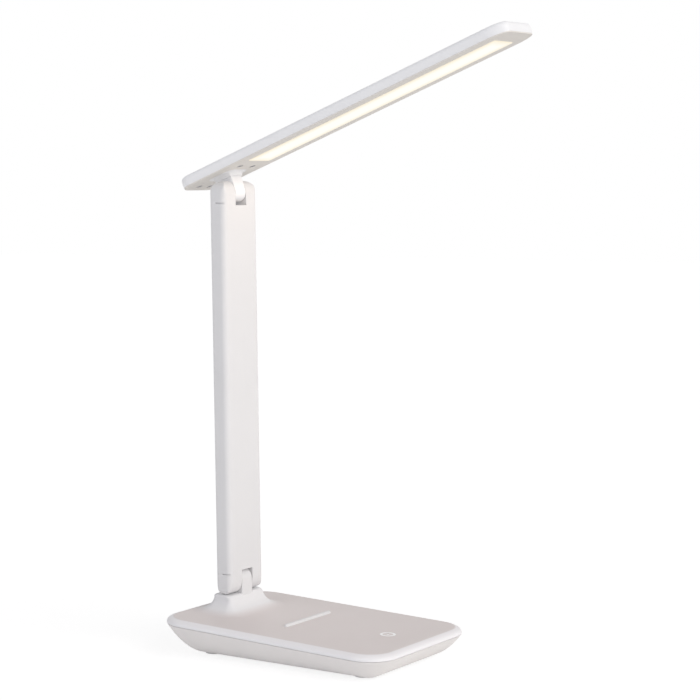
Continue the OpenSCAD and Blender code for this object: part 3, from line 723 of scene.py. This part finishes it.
def arm_half(z):
    """Section of one side of the arm from the front slot edge round to the back slot edge."""
    h, w, soft_h, soft_w = arm_reach(z)
    quarter = [(math.cos(a), math.sin(a)) for a in steps(0, math.pi / 2, 10)]
    flat_x, flat_y = ARM_X - ARM_EDGE, ARM_Y - ARM_EDGE
    section = [(ARM_X, SLOT_Y), (ARM_X, (SLOT_Y + flat_y) / 2)]
    section += [(flat_x + ARM_EDGE * c, flat_y + ARM_EDGE * s) for c, s in quarter]
    section += [(flat_x / 2, ARM_Y), (0, ARM_Y)]
    flat_x, flat_y = ARM_X - ARM_BACK, ARM_Y - ARM_BACK
    section += [(-flat_x - ARM_BACK * s, flat_y + ARM_BACK * c) for c, s in quarter]
    section += [(-ARM_X, (SLOT_Y + flat_y) / 2), (-ARM_X, SLOT_Y)]
    points = []
    for x, y in section:
        xx = soft_min(abs(x), h, soft_h)
        yy = soft_min(y, w, soft_w) if y > SLOT_Y + 1 else y
        points.append((math.copysign(xx, x), yy, z))
    return points


def arm_levels():
    """Heights of the arm's rings: lower fork, web and upper fork."""
    low = [ARM_LOW + ARM_RISE * (1 - math.cos(a)) for a in steps(0.0, math.pi / 2, 16)]
    high = [ARM_HIGH - ARM_RISE * (1 - math.cos(a)) for a in steps(math.pi / 2, 0.0, 16)]
    body = [WEB_LOW, WEB_LOW + 1.5, 100, 150, 200, 250, WEB_HIGH - 1.5, WEB_HIGH]
    return low, body, high


def arm_body():
    """Arm shell: two half sections joined by the web, or closed by a cheek wall in the forks."""
    form = Form(ROW)
    low, body, high = arm_levels()
    levels = low + body + high
    crease = []
    halves = {}
    for z in levels:
        right = form.ring(arm_half(z))
        left = form.ring([(x, -y, zz) for x, y, zz in arm_half(z)])
        halves[z] = (right, left)

    for a, b in zip(levels, levels[1:]):
        (r0, l0), (r1, l1) = halves[a], halves[b]
        for p, q in ((r0, r1), (l0, l1)):
            for corners in zip(p, p[1:], q[1:], q):
                form.bm.faces.new(corners)
        if b <= WEB_LOW or a >= WEB_HIGH:
            for p, q in ((r0, r1), (l0, l1)):
                form.bm.faces.new((p[0], p[-1], q[-1], q[0]))
                crease += [(p[0], q[0]), (p[-1], q[-1])]
        else:
            for end in (0, -1):
                form.bm.faces.new((r0[end], l0[end], l1[end], r1[end]))
    for z in (WEB_LOW, WEB_HIGH):
        right, left = halves[z]
        form.bm.faces.new((right[0], left[0], left[-1], right[-1]))
        crease += [(right[0], left[0]), (right[-1], left[-1])]
    for z in (levels[0], levels[-1]):
        for half in halves[z]:
            form.bm.faces.new(half)
    for ends in crease:
        form.bm.edges.get(ends)[form.weight] = 1.0
    obj = form.mesh("arm_body")
    bevel(obj, ARM_CREASE)

    back = Form(ROW)
    low, high, half = BACK_LOW - BACK_FIT, BACK_HIGH + BACK_FIT, BACK_Y + BACK_FIT
    outline = round_rect(low, high, half, BACK_R + BACK_FIT, 0, 8)
    back.loft([[(x, y, z) for z, y, _ in outline] for x in (-ARM_X - 1, -ARM_X + BACK_DEPTH)])
    marks = Form(ROW)
    (x0, x1), h = MARK_X, MARK_HEIGHT / 2
    bend = [(x, arm_side(x) - MARK_DEPTH) for x in steps(x0, x1, 8)]
    line = [(x0, ARM_Y + 1), *bend, (x1, ARM_Y + 1)]
    for z in (WEB_LOW - MARK_OFFSET, WEB_HIGH + MARK_OFFSET):
        for side in (-1, 1):
            marks.loft([[(x, side * y, z + d) for x, y in line] for d in (-h, h)])
    sink = Form(ROW)
    (low, high), proud = SINK_Z, ARM_X + 0.05
    rings = []
    for z, share in ((low, 0.02), (low + SINK_FADE, 1), (high - SINK_FADE, 1), (high, 0.02)):
        deep, w = ARM_X - SINK_DEPTH * share, SINK_WIDTH / 2 * share
        rings.append([(deep, SINK_Y, z), (proud, SINK_Y + w, z), (proud, SINK_Y - w, z)])
    sink.loft(rings)
    carve(obj, [back.mesh("back_cut"), marks.mesh("mark_cut"), sink.mesh("sink_line")])
    return obj


piece(arm_body(), "arm", ["white_plastic"], ["arm_shell"])


def arm_back():
    """Cover let into the arm's back, with an eased edge."""
    rings = []
    for d, x in ((0, BACK_DEPTH - BACK_GAP), (0, 0.3), (0.09, 0.09), (0.3, 0), (1, 0)):
        plan = round_rect(BACK_LOW + d, BACK_HIGH - d, BACK_Y - d, BACK_R - d, 0, 10)
        rings.append([(x - ARM_X, y, z) for z, y, _ in plan])
    form = Form(ROW)
    form.loft(rings)
    return form.mesh("arm_back")


piece(arm_back(), "arm", ["white_plastic"], ["arm_back_cover"])


# ---------- head ----------


def head_plan(inset, z):
    """Plan of the head drawn in by inset: round rear corners, front corners longer than wide."""
    quarter = steps(0, math.pi / 2, 14)
    x0, x1, w = inset - HEAD_REAR, HEAD_FRONT - inset, HEAD_HALF - inset
    bow, r, back = HEAD_FRONT_BOW - inset, HEAD_FRONT_R - inset, HEAD_REAR_R - inset
    side = [(x1 - bow * (1 - math.cos(a)), w - r * (1 - math.sin(a))) for a in quarter]
    side += [(x0 + back * (1 - math.sin(a)), w - back * (1 - math.cos(a))) for a in quarter]
    return [(x, y, z) for x, y in side] + [(x, -y, z) for x, y in reversed(side)]


def window(border, z):
    """Plan of the lit window, grown by border."""
    x0, x1 = WINDOW_BACK - border, WINDOW_FRONT + border
    return round_rect(x0, x1, WINDOW_HALF + border, 1.0, z, 14)


def head_shell():
    """Top shell: flat inside, drafted sides, a shoulder rounded into the plain top face."""
    rim, shoulder = HEAD_LOW + HEAD_STEP, HEAD_TOP - HEAD_EDGE
    profile = [(4.0, HEAD_TOP - 2.0), (HEAD_EDGE, HEAD_TOP - 2.0), (HEAD_EDGE, rim)]
    profile += [(0.6, rim), (0.42, rim + 0.06), (HEAD_DRAFT + 0.01, rim + 0.22)]
    profile += [(HEAD_DRAFT * (1 - s), rim + (shoulder - rim) * s) for s in steps(0.15, 1, 5)]
    profile += [
        (HEAD_EDGE * (1 - math.cos(a)), shoulder + HEAD_EDGE * math.sin(a))
        for a in map(math.radians, steps(8, 90, 10))
    ]
    profile.append((HEAD_EDGE + 0.3, HEAD_TOP))
    form = Form(HEAD)
    form.loft([head_plan(d, z) for d, z in profile])
    return form.mesh("head_shell")


piece(head_shell(), "head", ["white_plastic_head"], ["head_top_shell"])


def head_frame():
    """Frame round the lit window: a lip with eased edges and seats for the four screws."""
    z, step, lip = HEAD_LOW, HEAD_LOW + HEAD_STEP, HEAD_LOW + 1.0
    outside = [(1.95, BEZEL_TOP), (1.95, step), (HEAD_INSET, step)]
    outside += [(HEAD_INSET + d, z + up) for d, up in ((0, 0.2), (0.06, 0.06), (0.2, 0))]
    inside = [(0.2, z), (0.06, z + 0.06), (0, z + 0.2), (0, lip), (2.15, lip), (2.15, BEZEL_TOP)]
    form = Form(HEAD)
    form.loft([head_plan(*p) for p in outside] + [window(*p) for p in inside], closed=True)
    obj = form.mesh("head_frame")

    holes = Form(HEAD)
    for x, y in HEAD_SCREWS:
        holes.loft([circle(x, y, r, z + up, 40) for r, up in SCREW_SEAT])
        holes.loft([circle(x, y, r, z + up, 32) for r, up in SCREW_HOLE])
    carve(obj, [holes.mesh("holes")])
    return obj


def collar():
    """Collar round the knuckle: straight inside, a lip below, flared into the frame outside."""

    def ring(d, z, r=None):
        x = TONGUE_R + d
        radius = COLLAR_R + d - COLLAR_WALL if r is None else r
        return round_rect(-x, x, TONGUE_Y + d, radius, z, 8)

    fit, wall, foot = COLLAR_FIT, COLLAR_WALL, HEAD_LOW - COLLAR_DROP
    rings = [ring(fit, HEAD_LOW + COLLAR_SUNK, 0.5), ring(fit, foot - 0.25, 0.5)]
    rings.append(ring(2 * fit, foot - COLLAR_LIP, 0.6))
    for a in map(math.radians, steps(90, 0, 5)):
        d = wall - COLLAR_LIP * (1 - math.cos(a))
        rings.append(ring(d, foot - COLLAR_LIP * math.sin(a)))
    for a in map(math.radians, steps(4, 90, 12)):
        d = wall + COLLAR_FLARE * (1 - math.cos(a))
        rings.append(ring(d, foot + COLLAR_DROP * math.sin(a)))
    rings.append(ring(wall + COLLAR_FLARE, HEAD_LOW + COLLAR_SUNK))
    form = Form(HEAD)
    form.loft(rings, closed=True)
    return form.mesh("head_collar")


piece(head_frame(), "head", ["bezel_plastic"], ["head_bezel"])
piece(collar(), "head", ["white_plastic_head"], ["head_bezel"])

knuckle = Form(HEAD @ Matrix.Rotation(math.pi, 4, "Y"))
tongue(knuckle, -BEZEL_TOP - 1.0)
knuckle = knuckle.mesh("head_stem")
piece(knuckle, "head", ["white_plastic_head"], ["head_knuckle"])


def light_panel():
    """Opal panel whose second coordinate runs from 0 on its middle line to 1 at its edge."""
    form = Form(HEAD)
    low, face = BEZEL_TOP - PANEL_DEPTH, HEAD_LOW - PANEL_PROUD
    uv = form.bm.loops.layers.uv.new("panel")
    profile = [(2.0, BEZEL_TOP, 1.0), (2.0, low, 1.0), (-0.1, low, 1.0)]
    profile += [(-0.1, face + 0.15, 1.0), (-0.25, face, 1.0), (-1.5, face, 0.85)]
    profile += [(-3.5, face, 0.65), (-6.5, face, 0.35), (-10.0, face, 0.0)]
    rings = form.loft([window(border, z) for border, z, _ in profile])
    share = {v: s for ring, (_, _, s) in zip(rings, profile) for v in ring}
    for f in form.bm.faces:
        for corner in f.loops:
            corner[uv].uv = (0.5, share[corner.vert])
    return form.mesh("light_panel")


piece(light_panel(), "head", ["opal_diffuser"], ["diffuser_panel"])


# ---------- floor, light and camera ----------

LENS, AZIMUTH, ROLL = 102.07, 34.68, -0.72
EYE, AHEAD = (0.86106, -1.10295, 0.32773), (-0.56691, 0.81949, -0.08400)


def studio():
    """White to the eye and in reflections, a dimmer and faintly cool light for everything else."""
    world = bpy.data.worlds.new("studio")
    bpy.context.scene.world = world
    world.use_nodes = True
    tree = world.node_tree
    tree.nodes.clear()
    out = tree.nodes.new("ShaderNodeOutputWorld")
    seen, lit = (tree.nodes.new("ShaderNodeBackground") for _ in range(2))
    seen.inputs["Color"].default_value = (1, 1, 1, 1)
    seen.inputs["Strength"].default_value = 1.0
    lit.inputs["Color"].default_value = (1.0, 0.99, 1.0, 1)
    lit.inputs["Strength"].default_value = 0.42
    path = tree.nodes.new("ShaderNodeLightPath")
    last = path.outputs["Is Camera Ray"]
    for name in ("Is Glossy Ray", "Is Transmission Ray"):
        both = tree.nodes.new("ShaderNodeMath")
        both.operation = "MAXIMUM"
        link(tree, last, both.inputs[0])
        link(tree, path.outputs[name], both.inputs[1])
        last = both.outputs[0]
    blend = tree.nodes.new("ShaderNodeMixShader")
    for source, socket in zip((last, lit.outputs[0], seen.outputs[0]), blend.inputs):
        link(tree, source, socket)
    link(tree, blend.outputs[0], out.inputs[0])


def floor():
    """Pale floor: white to the eye, with the object's shadow left in it."""
    bm = bmesh.new()
    bmesh.ops.create_grid(bm, x_segments=8, y_segments=8, size=6)
    data = bpy.data.meshes.new("floor")
    bm.to_mesh(data)
    bm.free()
    obj = bpy.data.objects.new("floor", data)
    bpy.context.scene.collection.objects.link(obj)
    m = bpy.data.materials.new("floor")
    m.use_nodes = True
    tree = m.node_tree
    tree.nodes.clear()
    out = tree.nodes.new("ShaderNodeOutputMaterial")

    def glowing(colour, strength):
        """Matt surface of that colour with a glow of its own added."""
        matt = tree.nodes.new("ShaderNodeBsdfDiffuse")
        matt.inputs["Color"].default_value = colour
        glow = tree.nodes.new("ShaderNodeEmission")
        glow.inputs["Strength"].default_value = strength
        both = tree.nodes.new("ShaderNodeAddShader")
        link(tree, matt.outputs[0], both.inputs[0])
        link(tree, glow.outputs[0], both.inputs[1])
        return both.outputs[0]

    seen = glowing((0.34, 0.34, 0.34, 1), 0.79)
    lighting = glowing((0.92, 0.91, 0.9, 1), 0.12)
    path = tree.nodes.new("ShaderNodeLightPath")
    pick = tree.nodes.new("ShaderNodeMixShader")
    for source, socket in zip((path.outputs["Is Camera Ray"], lighting, seen), pick.inputs):
        link(tree, source, socket)
    link(tree, pick.outputs[0], out.inputs[0])
    # Not sampled as a lamp, against grain.
    m.cycles.emission_sampling = "NONE"
    data.materials.append(m)


def sun(name, source, level, angle, colour):
    """Soft parallel light; level is what a surface that faces it gains."""
    light = bpy.data.lights.new(name, "SUN")
    light.energy = level * math.pi
    light.angle = math.radians(angle)
    light.color = colour
    obj = bpy.data.objects.new(name, light)
    obj.rotation_mode = "QUATERNION"
    obj.rotation_quaternion = Vector(source).to_track_quat("Z", "Y")
    bpy.context.scene.collection.objects.link(obj)


def camera():
    """The photograph's camera, as fitted to its edges: lens, place, direction and roll."""
    data = bpy.data.cameras.new("camera")
    data.sensor_width = 36
    data.lens = LENS
    obj = bpy.data.objects.new("camera", data)
    azimuth, roll = math.radians(AZIMUTH), math.radians(ROLL)
    ahead = Vector(AHEAD).normalized()
    right = Vector((math.cos(azimuth), math.sin(azimuth), 0))
    up = right.cross(ahead)
    x = math.cos(roll) * right + math.sin(roll) * up
    y = -math.sin(roll) * right + math.cos(roll) * up
    turn = Matrix((x, y, -ahead)).transposed().to_4x4()
    obj.matrix_world = Matrix.Translation(EYE) @ turn
    bpy.context.scene.collection.objects.link(obj)
    bpy.context.scene.camera = obj


def panel_light():
    """The panel's own warm light, dim beside the studio's."""
    light = bpy.data.lights.new("panel_light", "AREA")
    light.shape = "RECTANGLE"
    light.size = (WINDOW_FRONT - WINDOW_BACK) * MM
    light.size_y = 2 * WINDOW_HALF * MM
    light.energy = 0.085
    light.color = (1.0, 0.84, 0.72)
    obj = bpy.data.objects.new("panel_light", light)
    middle = (WINDOW_FRONT + WINDOW_BACK) / 2
    turn = Matrix.Rotation(math.radians(-HEAD_TILT), 4, "Y")
    spot = HEAD @ Vector((middle, 0, HEAD_LOW - LIGHT_DROP))
    obj.matrix_world = Matrix.Translation(spot) @ turn
    obj.visible_camera = False
    bpy.context.scene.collection.objects.link(obj)
    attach(obj, "head")


studio()
floor()
panel_light()
sun("key", (0.915, -0.05, 0.40), 0.53, 50, (1.0, 0.985, 0.973))
sun("fill", (-0.25, -0.965, 0.05), 0.32, 60, (0.86, 0.9, 1.0))
camera()
bpy.context.scene.view_settings.view_transform = "Standard"
